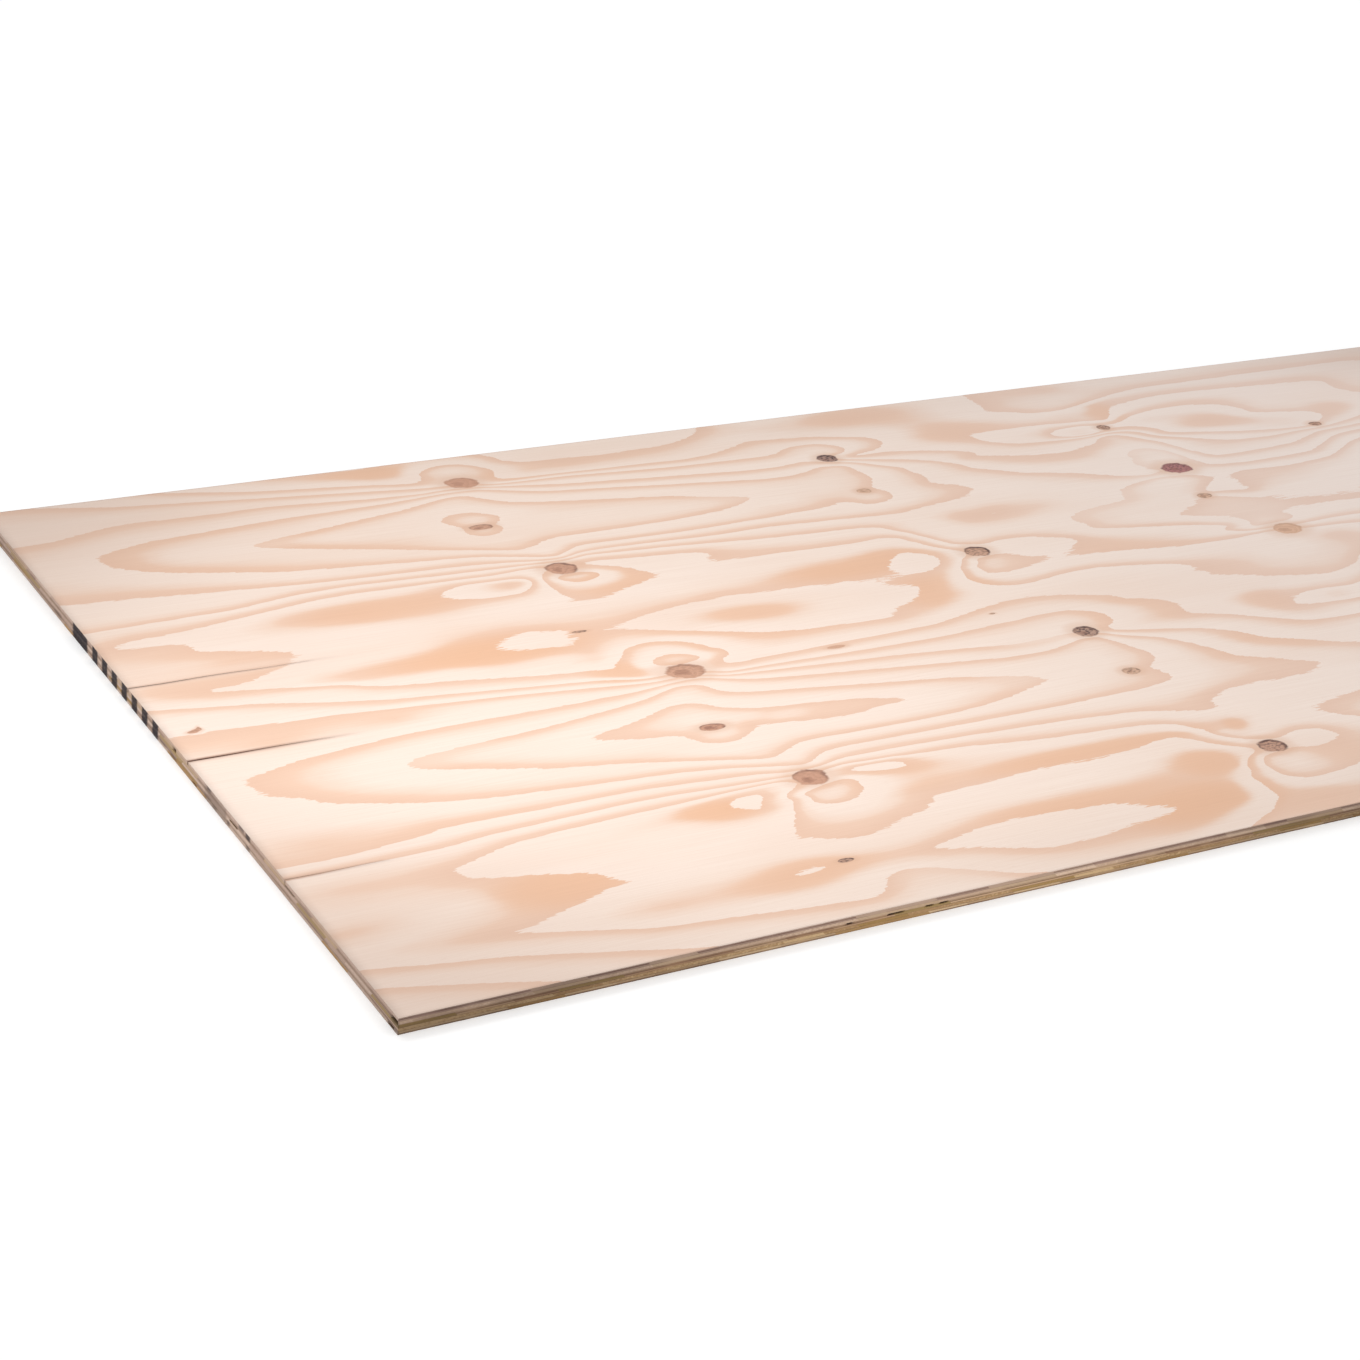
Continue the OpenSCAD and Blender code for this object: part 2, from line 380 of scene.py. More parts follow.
# Ring numbers inside broad light or dark areas: x, v, ring number
RING_SPOTS = [
    (400, 205, 0.35), (700, 235, 0.35), (850, 245, 0.45), (300, 460, 5.25), (250, 458, 5.25),
    (480, 470, 5.15), (560, 475, 5.1), (700, 470, 5.1), (800, 450, 5.1), (350, 400, 5.85),
    (300, 395, 5.85), (400, 405, 5.9), (370, 425, 5.85), (360, 545, 5.75), (300, 570, 5.84),
    (420, 590, 5.75), (400, 525, 5.8), (470, 505, 5.8), (500, 605, 5.4), (350, 602, 5.2),
    (780, 560, 6.85), (720, 555, 6.75), (880, 580, 6.35), (950, 560, 6.2), (60, 480, 4.6),
    (100, 478, 4.65), (160, 495, 4.85), (30, 540, 4.85), (740, 395, 5.2), (900, 440, 5.3),
    (980, 462, 5.6), (900, 490, 5.85), (1040, 442, 5.4), (1030, 600, 5.75), (1070, 620, 5.35),
    (900, 655, 5.5), (1080, 580, 5.2), (480, 20, 5.8), (530, 25, 5.9), (540, 40, 5.75), (590, 10, 5.5),
    (1110, 36, 5.65), (1110, 5, 5.35), (1200, 20, 5.85), (1300, 40, 5.85), (1250, 60, 5.7),
    (1350, 90, 5.8), (1330, 130, 5.85), (1430, 60, 5.25), (1440, 20, 5.3), (1280, 110, 5.35),
    (1260, 90, 5.3), (1440, 110, 5.75), (1220, 400, 3.95), (1230, 376, 3.75), (1300, 385, 3.8),
    (1300, 408, 3.85), (1280, 420, 3.75), (1200, 355, 3.1), (1300, 350, 3.2), (1400, 350, 3.3),
    (1430, 380, 3.15), (1330, 430, 3.2), (1250, 442, 3.35), (1150, 400, 3.2), (1380, 335, 3.4),
    (1160, 430, 3.3), (1380, 455, 2.75), (1460, 455, 2.3), (1530, 400, 2.3), (1560, 370, 2.4),
    (1540, 440, 2.15), (1350, 535, 3.85), (1440, 545, 3.6), (1500, 545, 3.3), (1230, 500, 4.15),
    (1210, 575, 4.3), (1400, 590, 4.3), (1550, 490, 1.9), (1620, 480, 1.9), (1650, 500, 1.9),
    (1610, 520, 1.9), (1540, 515, 2.2), (1680, 540, 2.3), (1640, 400, 3.1), (1720, 400, 2.85),
    (1680, 455, 2.2), (1500, 180, 6.85), (1570, 120, 5.75), (1470, 165, 6.5), (1790, 190, 7.9),
    (1800, 210, 7.88), (1740, 185, 7.6), (1600, 50, 4.5), (1620, 20, 4.85), (1700, 20, 4.4),
    (1800, 20, 4.4), (2000, 20, 4.6), (2150, 15, 4.5), (2000, 130, 6.25), (1930, 160, 6.4),
    (2120, 120, 5.7), (1700, 300, 5.4), (1760, 322, 4.9), (1820, 330, 4.6), (1780, 352, 3.9),
    (1850, 345, 4.2), (250, 640, 3.7), (60, 670, 2.75), (150, 670, 2.75), (40, 600, 3.35),
    (60, 900, 2.75), (30, 720, 2.3), (200, 1060, 4.85), (120, 1010, 4.82), (60, 1008, 4.78),
    (130, 1060, 4.4), (250, 1075, 4.93), (60, 1105, 4.35), (350, 1030, 5.3), (450, 1040, 5.25),
    (380, 1090, 5.15), (440, 975, 5.8), (420, 1000, 5.5), (440, 1120, 5.75), (480, 1150, 5.8),
    (290, 1138, 5.72), (620, 1030, 4.3), (760, 990, 4.65), (650, 1010, 4.15), (600, 1060, 4.86),
    (900, 1000, 4.75), (1000, 1010, 4.9), (800, 1060, 5.2), (950, 1060, 5.2), (600, 1100, 5.2),
    (750, 1095, 5.8), (900, 1105, 5.85), (1050, 1080, 5.84), (1000, 1140, 5.84), (1070, 1135, 5.15),
    (1045, 1135, 5.8), (1035, 1165, 5.8), (870, 1192, 5.84), (650, 1150, 5.85), (570, 203, -0.5),
    (568, 241, -0.5), (566, 782, -0.5), (570, 834, -0.5), (480, 796, -0.12), (640, 808, -0.15),
    (700, 822, -0.12), (760, 823, -0.1), (575, 150, 0.5), (611, 48, 4.45), (612, 650, 3.7),
    (612, 402, 3.5), (613, 992, 3.5), (1130, 126, 3.5), (1132, 716, 3.5), (1000, 250, 1.4),
    (1060, 235, 1.5), (1100, 230, 1.55), (1090, 262, 1.6), (1035, 272, 1.65), (950, 290, 1.6),
    (1060, 290, 1.9), (1120, 298, 1.6), (1160, 540, 3.8), (1250, 530, 4.12), (1180, 585, 4.4),
    (1165, 1118, 3.5), (1210, 1075, 4.25), (1225, 1106, 3.85), (1150, 1170, 4.35), (1200, 1166, 4.3),
    (1110, 1195, 4.85), (1150, 1205, 4.85), (1560, 290, 4.2), (1500, 290, 4.3), (1580, 240, 4.6),
    (1605, 300, 3.5), (1625, 125, 5.88), (1650, 100, 5.9), (1680, 90, 5.88), (1600, 110, 5.5),
    (1690, 425, 2.85), (1770, 410, 2.75), (1830, 400, 2.6), (345, 193, 0.55), (322, 195, 0.75),
    (170, 190, 1.4), (150, 189, 1.65), (50, 388, 4.86), (528, 226, 0.3), (612, 224, 0.3),
    (60, 438, 4.86), (20, 440, 4.82), (60, 530, 4.86), (100, 520, 4.86), (140, 500, 4.88),
    (100, 686, 2.8), (250, 682, 2.8), (230, 402, 5.85), (245, 425, 5.82), (320, 436, 5.85),
    (420, 438, 5.86), (500, 434, 5.86), (520, 393, 6.85), (540, 398, 6.9), (465, 405, 6.12),
    (545, 570, 5.92), (530, 600, 5.88), (525, 616, 5.82), (545, 535, 5.94), (205, 565, 5.72),
    (245, 572, 5.8), (535, 800, -0.4), (620, 805, -0.5), (660, 816, -0.45), (330, 1052, 5.3),
    (390, 1055, 5.3), (590, 1130, 5.86), (620, 1132, 5.9), (560, 1126, 5.86), (350, 1141, 5.82),
    (310, 1139, 5.8), (560, 1055, 4.88), (650, 1050, 4.86), (690, 1020, 4.82), (960, 275, 1.45),
    (1005, 280, 1.5), (1180, 395, 3.86), (1330, 395, 3.86), (1200, 378, 3.82), (1260, 373, 3.82),
    (1200, 414, 3.86), (850, 400, 4.87), (900, 406, 4.87), (830, 390, 4.87), (750, 500, 5.86),
    (850, 500, 5.9), (680, 511, 5.88), (800, 575, 6.85), (1070, 1070, 5.85), (1040, 1100, 5.85),
    (1080, 1095, 5.85), (1020, 1085, 5.84), (1140, 1010, 3.85), (1155, 1008, 3.88), (1150, 1022, 3.88),
    (1145, 1030, 3.82), (1160, 1015, 3.85), (1122, 1030, 3.3), (1182, 1020, 3.3), (1150, 985, 3.3),
    (1166, 1042, 3.35), (1200, 880, 2.4), (1280, 915, 2.86), (1250, 890, 2.7), (1310, 922, 2.92),
    (1840, 215, 7.86), (1760, 202, 7.86), (1450, 254, 4.86), (1500, 257, 4.86), (1400, 242, 4.86),
    (1330, 216, 4.86), (1440, 625, 4.86), (1480, 640, 4.84), (1540, 640, 4.4), (1580, 620, 4.3),
    (1560, 682, 4.8), (1600, 602, 4.5), (1420, 730, 5.86), (1480, 735, 5.86), (1540, 735, 5.8),
    (1300, 650, 5.2), (1400, 692, 5.25), (1500, 716, 5.35), (60, 1110, 4.7), (100, 1120, 4.82),
    (260, 532, 5.35), (315, 530, 5.45), (230, 545, 5.5), (1420, 755, 5.86), (1440, 785, 5.84),
    (1400, 720, 5.5), (1370, 760, 5.3), (1450, 805, 5.5), (1000, 1170, 5.82), (940, 1195, 5.82),
    (1030, 1120, 5.82), (275, 780, 0.7), (300, 782, 0.55), (400, 505, 5.7), (1530, 763, 6.8),
    (1650, 610, 4.84), (1680, 600, 4.84), (2020, 207, 6.84), (2000, 212, 6.8), (10, 1072, 4.86),
    (45, 1068, 4.8), (90, 1066, 4.45), (10, 1040, 4.45), (10, 1100, 4.4), (30, 985, 4.76),
    (548, 662, 4.86), (556, 672, 4.8), (1235, 1120, 3.84), (1205, 1110, 3.8), (1120, 1178, 4.85),
    (1150, 1186, 4.85), (1095, 1180, 4.87), (470, 985, 5.82), (460, 1000, 5.7), (610, 1210, 4.3),
    (1275, 1085, 3.84),
]


# Ring numbers

def plate(dx, dv):
    """Thin-plate kernel between points, with the grain direction drawn in."""
    r2 = (dx / GRAIN_STRETCH) ** 2 + dv ** 2
    return 0.5 * r2 * np.log(r2 + 1e-6)


def points_along(line):
    """A line's points with more between them, LINE_STEP apart at most."""
    points = [line[0]]
    for start, end in zip(line, line[1:]):
        parts = int(np.ceil(np.hypot(end[0] - start[0], end[1] - start[1]) / LINE_STEP))
        for share in np.arange(1, parts + 1) / parts:
            points.append((start[0] + (end[0] - start[0]) * share, start[1] + (end[1] - start[1]) * share))
    return points


def ring_samples():
    """Every placed ring number, and the same figure a turn or two later where none is placed."""
    placed = list(RING_SPOTS)
    for number, lines in RING_EDGES.items():
        for line in lines:
            placed += [(x, v, number) for x, v in points_along(line)]
    placed = np.array(placed, float)
    samples = [placed]
    for turns in (1, 2):
        later = placed + (0, turns * TURN, -turns * DRIFT)
        bare = later[:, 0] > PLACED_REACH - PLACED_SLOPE * later[:, 1]
        samples.append(later[bare & (later[:, 1] < SHEET_WIDTH + LINE_STEP)])
    return np.vstack(samples)


def fit_rings():
    """Smooth surface through the samples: its centres, their weights and the plane under them."""
    samples = ring_samples()
    count = len(samples)
    system = np.zeros((count + 3, count + 3))
    system[:count, :count] = plate(
        samples[:, None, 0] - samples[None, :, 0], samples[:, None, 1] - samples[None, :, 1])
    system[np.arange(count), np.arange(count)] += SMOOTHING
    plane = np.column_stack([np.ones(count), samples[:, :2] * MM])
    system[:count, count:] = plane
    system[count:, :count] = plane.T
    solved = np.linalg.solve(system, np.concatenate([samples[:, 2], np.zeros(3)]))
    return samples[:, :2], solved[:count], solved[count:]


RING_CENTRES, RING_WEIGHTS, RING_PLANE = fit_rings()


def ring_number(x, v):
    """Growth-ring number at each place on the veneer, and how many rings there are to a mm."""
    number = RING_PLANE[0] + RING_PLANE[1] * x * MM + RING_PLANE[2] * v * MM
    pace_x = np.full(len(x), RING_PLANE[1] * MM)
    pace_v = np.full(len(x), RING_PLANE[2] * MM)
    block = 3000
    for start in range(0, len(x), block):
        part = slice(start, start + block)
        dx = (x[part, None] - RING_CENTRES[:, 0]) / GRAIN_STRETCH
        dv = v[part, None] - RING_CENTRES[:, 1]
        r2 = dx ** 2 + dv ** 2
        log_r2 = np.log(r2 + 1e-6)
        number[part] += (0.5 * r2 * log_r2) @ RING_WEIGHTS
        pace_x[part] += (dx / GRAIN_STRETCH * (log_r2 + 1)) @ RING_WEIGHTS
        pace_v[part] += (dv * (log_r2 + 1)) @ RING_WEIGHTS
    return number, np.hypot(pace_x, pace_v)


def patch_share(x, v, middle_x, middle_v, reach_x, reach_v):
    """How far inside a soft patch each place is: 1 at its middle, and near 0 past its reach."""
    away = ((x - middle_x) / reach_x) ** 2 + ((v - middle_v) / reach_v) ** 2
    return np.exp(-away ** 2)


def richness(x, v):
    """How much broader, and how much more orange, the late wood is at each place, from 0 to 1."""
    broad = np.zeros(len(x))
    orange = np.zeros(len(x))
    for *patch, breadth, colour in RICH_PATCHES:
        share = patch_share(x, v, *patch)
        broad = np.maximum(broad, breadth * share)
        orange = np.maximum(orange, colour * share)
    return broad, orange


def faintness(x, v):
    """How much fainter the late wood is at each place, from 0 to 1."""
    faint = np.zeros(len(x))
    for *patch, amount in FAINT_PATCHES:
        faint = np.maximum(faint, amount * patch_share(x, v, *patch))
    return faint


def banded(number, pace, broad):
    """Ring number whose last half is the late wood, about LATE_WIDTH wide and broader in rich patches."""
    late = np.clip(LATE_WIDTH * pace, LEAST_LATE, MOST_LATE) + RICH_LATE * broad
    whole = np.floor(number)
    share = number - whole
    early = 0.5 * share / (1 - late)
    return whole + np.where(share < 1 - late, early, 0.5 + 0.5 * (share - 1 + late) / late)


def knot_fields(x, v):
    """Each place seen from its nearest knot, in that knot's radii, and that knot's look."""
    vectors = np.tile(FAR_FROM_KNOTS, (len(x), 1))
    looks = np.zeros((len(x), 3))
    best = np.full(len(x), KNOT_LIMIT)
    for knot_x, knot_v, half_length, half_width, *look in KNOTS:
        along = (x - knot_x) / half_length
        across = (v - knot_v) / half_width
        reach = np.hypot(along, across)
        nearest = reach < best
        climb = np.clip(KNOT_CLIMB * (reach - KNOT_SURROUND), 0, FAR_FROM_KNOTS[2])
        vectors[nearest] = np.column_stack([along, across, climb])[nearest]
        looks[nearest] = look
        best[nearest] = reach[nearest]
    return vectors, looks


def end_for_end(x, v):
    """The same place on a veneer that is laid the other way round."""
    return SHEET_LENGTH - x, SHEET_WIDTH - v


# Meshes

class Ply:
    """Vertices and faces of one ply, with places in mm on the sheet. Depth is the share of the ply's
    thickness below its upper face, or above its lower face if the ply is made turned over."""

    def __init__(self, node, turned_over=False):
        low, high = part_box(node)
        self.turned_over = turned_over
        self.top = high[2]
        self.thickness = high[2] - low[2]
        self.x = []
        self.v = []
        self.depth = []
        self.faces = []
        self.figured = 0
        self.loop = []
        self.sides = []

    def height(self, depth):
        """Height above the floor, in metres, at a depth into the ply."""
        if self.turned_over:
            return self.top - self.thickness * (1 - depth)
        return self.top - self.thickness * depth

    def vertex(self, x, v, depth=0.0):
        self.x.append(x)
        self.v.append(v)
        self.depth.append(depth)
        return len(self.x) - 1

    def between(self, start, end):
        """New vertices between two on an outer edge, about EDGE_STEP apart."""
        gap = np.hypot(self.x[end] - self.x[start], self.v[end] - self.v[start])
        parts = max(1, round(gap / EDGE_STEP))
        made = []
        for share in np.arange(1, parts) / parts:
            x = self.x[start] + (self.x[end] - self.x[start]) * share
            v = self.v[start] + (self.v[end] - self.v[start]) * share
            made.append(self.vertex(x, v))
        return made


def column_lines(scale):
    """Columns along the sheet, finer where knots stand."""
    lines = [0.0]
    while lines[-1] < SHEET_LENGTH - COARSE_COLUMN * scale:
        near = min(abs(lines[-1] - whorl) for whorl in WHORLS) < WHORL_REACH
        lines.append(lines[-1] + (FINE_COLUMN if near else COARSE_COLUMN) * scale)
    return np.array(lines + [SHEET_LENGTH])


def row_lines(step, splits):
    """Rows across the sheet, with two at each split, and the first row of each split."""
    lines = list(np.linspace(0, SHEET_WIDTH, round(SHEET_WIDTH / step) + 1))
    for centre, _, mouth, *_ in splits:
        lines = [v for v in lines if abs(v - centre) > step / 2]
        lines += [centre - mouth / 2, centre + mouth / 2]
    lines = np.array(sorted(lines))
    firsts = [int(np.argmin(abs(lines - (centre - mouth / 2)))) for centre, _, mouth, *_ in splits]
    return lines, firsts


def figured_grid(ply, column_scale, row_step, splits):
    """Grid over the ply's upper face, open along its splits, and the outline that goes round both."""
    columns = column_lines(column_scale)
    rows, split_rows = row_lines(row_step, splits)
    x = np.tile(columns, (len(rows), 1))
    v = np.tile(rows[:, None], (1, len(columns)))
    index = np.arange(x.size).reshape(x.shape)
    tips = {}
    for (centre, length, mouth, wander, _), row in zip(splits, split_rows):
        path = wander * np.sin(columns / WANDER_LENGTH) * np.clip(columns / WANDER_START, 0, 1)
        path *= np.clip((length + WANDER_END - columns) / WANDER_END, 0, 1)
        v += path * np.exp(-((v - centre) / BEND_REACH) ** 2)
        half = mouth / 2 * np.clip(1 - columns / length, 0, 1)
        v[row] = centre + path - half
        v[row + 1] = centre + path + half
        tips[row] = int(np.argmax(columns >= length))
        index[row + 1, tips[row]:] = index[row, tips[row]:]
    ply.x = list(x.ravel())
    ply.v = list(v.ravel())
    ply.depth = [0.0] * x.size

    # The outline runs clockwise from above and goes in and out of each split
    extra = {}

    def follow(corners, side):
        for start, end in zip(corners, corners[1:]):
            ply.loop.append(start)
            ply.sides.append(side)
            if side != "slot":
                extra[(start, end)] = ply.between(start, end)
                ply.loop.extend(extra[(start, end)])
                ply.sides.extend([side] * len(extra[(start, end)]))

    follow(list(index[0]), "far")
    follow(list(index[:, -1]), "right")
    follow(list(index[-1][::-1]), "near")
    lowest = len(rows) - 1
    for row in sorted(tips, reverse=True):
        follow(list(index[row + 1:lowest + 1, 0][::-1]), "left")
        follow(list(index[row + 1, :tips[row] + 1]), "slot")
        follow(list(index[row, :tips[row] + 1][::-1]), "slot")
        lowest = row
    follow(list(index[:lowest + 1, 0][::-1]), "left")

    last_row = len(rows) - 2
    last_column = len(columns) - 2
    for row in range(len(rows) - 1):
        if row in tips:
            continue
        for column in range(len(columns) - 1):
            upper = list(index[row, column:column + 2])
            lower = list(index[row + 1, column:column + 2])
            corners = [upper[0], lower[0], lower[1], upper[1]]
            if row in (0, last_row) or column in (0, last_column):
                ring = []
                for start, end in zip(corners, corners[1:] + corners[:1]):
                    ring.append(start)
                    ring += extra.get((end, start), [])[::-1]
                corners = ring
            ply.faces.append(corners)
    ply.figured = len(ply.faces)


def plain_outline(ply):
    """Outline of a ply whose faces are hidden, and its flat upper face."""
    corners = [(0, 0), (SHEET_LENGTH, 0), (SHEET_LENGTH, SHEET_WIDTH), (0, SHEET_WIDTH)]
    made = [ply.vertex(x, v) for x, v in corners]
    for side, start, end in zip(("far", "right", "near", "left"), made, made[1:] + made[:1]):
        run = [start] + ply.between(start, end)
        ply.loop += run
        ply.sides += [side] * len(run)
    ply.faces.append(ply.loop[::-1])


def smooth_noise(rng, count, stretch):
    """Smooth random values from 0 to 1, with features about stretch samples long."""
    knots = rng.random(int(count / stretch) + 3)
    place = np.arange(count) / stretch
    first = place.astype(int)
    share = place - first
    share = share * share * (3 - 2 * share)
    return knots[first] * (1 - share) + knots[first + 1] * share


def within(along, start, end, fade):
    """1 between start and end, and falling to 0 at both over the fade."""
    return np.clip(np.minimum(along - start, end - along) / fade, 0, 1)


def sawn_walls(ply, rng):
    """Rough sawn edge down from the outline, with hollows, and the flat lower face.
    Returns how much painted shade, of a hollow or a split, and how much ink each vertex has."""
    count = len(ply.loop)
    sides = np.array(ply.sides)
    x = np.array([ply.x[i] for i in ply.loop])
    v = np.array([ply.v[i] for i in ply.loop])
    inward_x = np.where(sides == "left", 1.0, np.where(sides == "right", -1.0, 0.0))
    inward_v = np.where(sides == "far", 1.0, np.where(sides == "near", -1.0, 0.0))
    along = np.where((sides == "far") | (sides == "near"), x, SHEET_WIDTH - v)
    kerf = SAW_MARK * smooth_noise(rng, count, 2.0) + SAW_WAVE * smooth_noise(rng, count, 30.0)
    hollow_shade = {}
    ink = {}
    upper = ply.loop
    for row in range(EDGE_ROWS + 1):
        height = ply.height(row / EDGE_ROWS) / MM
        inset = kerf + SAW_MARK * smooth_noise(rng, count, 1.5)
        hollow_shade_mask = np.zeros(count)
        # Each hollow is cut in by its depth and painted dark as shade
        for side, start, end, low, high, depth in HOLLOWS:
            if low - HEIGHT_ROUNDING <= height <= high + HEIGHT_ROUNDING:
                ends = within(along, start, end, HOLLOW_FADE) * (sides == side)
                hollow_shade_mask = np.maximum(hollow_shade_mask, ends)
                inset = inset + depth * ends
        marked = np.zeros(count)
        for start, end in INK_BARS:
            worn = INK_WEAR * smooth_noise(rng, count, 2.0)
            bar = within(along, start + worn, end - worn, INK_FADE)
            marked = np.maximum(marked, bar * (sides == "left"))
        marked = marked * (INK_LEAST + (1 - INK_LEAST) * smooth_noise(rng, count, 1.2))
        for start, end, low, high, strength in SMUDGES:
            smudge = within(along, start, end, SMUDGE_FADE) * within(height, low, high, SMUDGE_SOFTNESS)
            marked = np.maximum(marked, strength * smudge * (sides == "left"))
        lower = upper
        if row > 0:
            lower = [ply.vertex(a, b, row / EDGE_ROWS) for a, b in zip(x, v)]
            for i in range(count):
                after = (i + 1) % count
                ply.faces.append([upper[i], upper[after], lower[after], lower[i]])
        # The walls of each split are painted fully dark as shade
        hollow_shade_mask = np.where(sides == "slot", 1.0, hollow_shade_mask)
        for i, vertex in enumerate(lower):
            ply.x[vertex] += inset[i] * inward_x[i]
            ply.v[vertex] += inset[i] * inward_v[i]
            hollow_shade[vertex] = hollow_shade_mask[i]
            ink[vertex] = marked[i]
        upper = lower
    ply.faces.append(list(upper))
    return hollow_shade, ink


def finish_mesh(ply, name, materials, values, vectors, relief=None):
    """Blender object of a ply. values and vectors are attributes for its materials, by name."""
    used = sorted({i for face in ply.faces for i in face})
    number = {old: new for new, old in enumerate(used)}
    share = np.array(ply.depth)[used]
    depth = share
    if relief is not None:
        depth = depth + np.where(share == 0, relief[used] * MM / ply.thickness, 0)
    places = np.column_stack([
        SHEET_LOW[0] + np.array(ply.x)[used] * MM,
        SHEET_HIGH[1] - np.array(ply.v)[used] * MM,
        ply.height(depth),
    ])
    faces = [[number[i] for i in face] for face in ply.faces]
    if ply.turned_over:
        faces = [face[::-1] for face in faces]
    mesh = bpy.data.meshes.new(name)
    mesh.from_pydata(places.tolist(), [], faces)
    values = dict(values, layer=share if ply.turned_over else 1 - share)
    for key, numbers in values.items():
        numbers = numbers if key == "layer" else numbers[used]
        mesh.attributes.new(key, "FLOAT", "POINT").data.foreach_set("value", numbers.astype(np.float32))
    for key, rows in vectors.items():
        flat = rows[used].astype(np.float32).ravel()
        mesh.attributes.new(key, "FLOAT_VECTOR", "POINT").data.foreach_set("vector", flat)
    for material in materials:
        mesh.materials.append(material)
    slots = np.full(len(faces), len(materials) - 1, np.int32)
    slots[:ply.figured] = 0
    mesh.polygons.foreach_set("material_index", slots)
    mesh.polygons.foreach_set("use_smooth", np.arange(len(faces)) < ply.figured)
    mesh.update()
    piece = bpy.data.objects.new(name, mesh)
    bpy.context.collection.objects.link(piece)
    return piece


def spread(by_vertex, count):
    """A dict of vertex values as an array, zero elsewhere."""
    values = np.zeros(count)
    values[list(by_vertex)] = list(by_vertex.values())
    return values


def split_stain(x, v, splits):
    """How brown the wood beside the splits is at each place, fading towards their tips."""
    stain = np.zeros(len(x))
    for centre, length, _, _, strength in splits:
        fade = np.clip(STAIN_LENGTH - x / length, 0, 1) ** STAIN_CURVE
        stain = np.maximum(stain, strength * fade * np.exp(-((v - centre) / STAIN_REACH) ** 2))
    return stain


def figured_ply(node, name, materials, column_scale, row_step, splits, seed, back=False):
    """A face or back ply: figured grid on its outer side, sawn walls round it."""
    ply = Ply(node, turned_over=back)
    figured_grid(ply, column_scale, row_step, splits)
    hollow_shade, ink = sawn_walls(ply, np.random.default_rng(seed))
    x = np.array(ply.x)
    v = np.array(ply.v)
    rings = np.zeros(len(x))
    outer = np.array(ply.depth) == 0
    place_x, place_v = end_for_end(x, v) if back else (x, v)
    broad, orange = richness(place_x, place_v)
    number, pace = ring_number(place_x[outer], place_v[outer])
    rings[outer] = banded(number, pace, broad[outer])
    knots, looks = knot_fields(place_x, place_v)
    # Late wood stands a little proud of the early wood, and a knot a little proud of both
    proud = np.mod(rings, 1.0)
    proud = np.maximum(proud, np.clip(KNOT_SHOULDER - np.linalg.norm(knots, axis=1), 0, 1))
    values = {
        "ring": rings,
        "orange": orange,
        "faint": faintness(place_x, place_v),
        "stain": split_stain(x, v, splits),
        "hollow_shade": spread(hollow_shade, len(x)),
        "ink": spread(ink, len(x)),
    }
    vectors = {"knot": knots, "knot_look": looks}
    return finish_mesh(ply, name, materials, values, vectors, FACE_RELIEF * (1 - proud))


def inner_ply(node, name, material, seed):
    """A ply that shows only its sawn edges."""
    ply = Ply(node)
    plain_outline(ply)
    hollow_shade, ink = sawn_walls(ply, np.random.default_rng(seed))
    values = {"hollow_shade": spread(hollow_shade, len(ply.x)), "ink": spread(ink, len(ply.x))}
    return finish_mesh(ply, name, [material], values, {})


# Materials

def tone(red, green, blue):
    """Linear colour with alpha from display values of 0 to 255."""
    channels = [c / 255 for c in (red, green, blue)]
    return (*[c / 12.92 if c <= 0.04045 else ((c + 0.055) / 1.055) ** 2.4 for c in channels], 1.0)


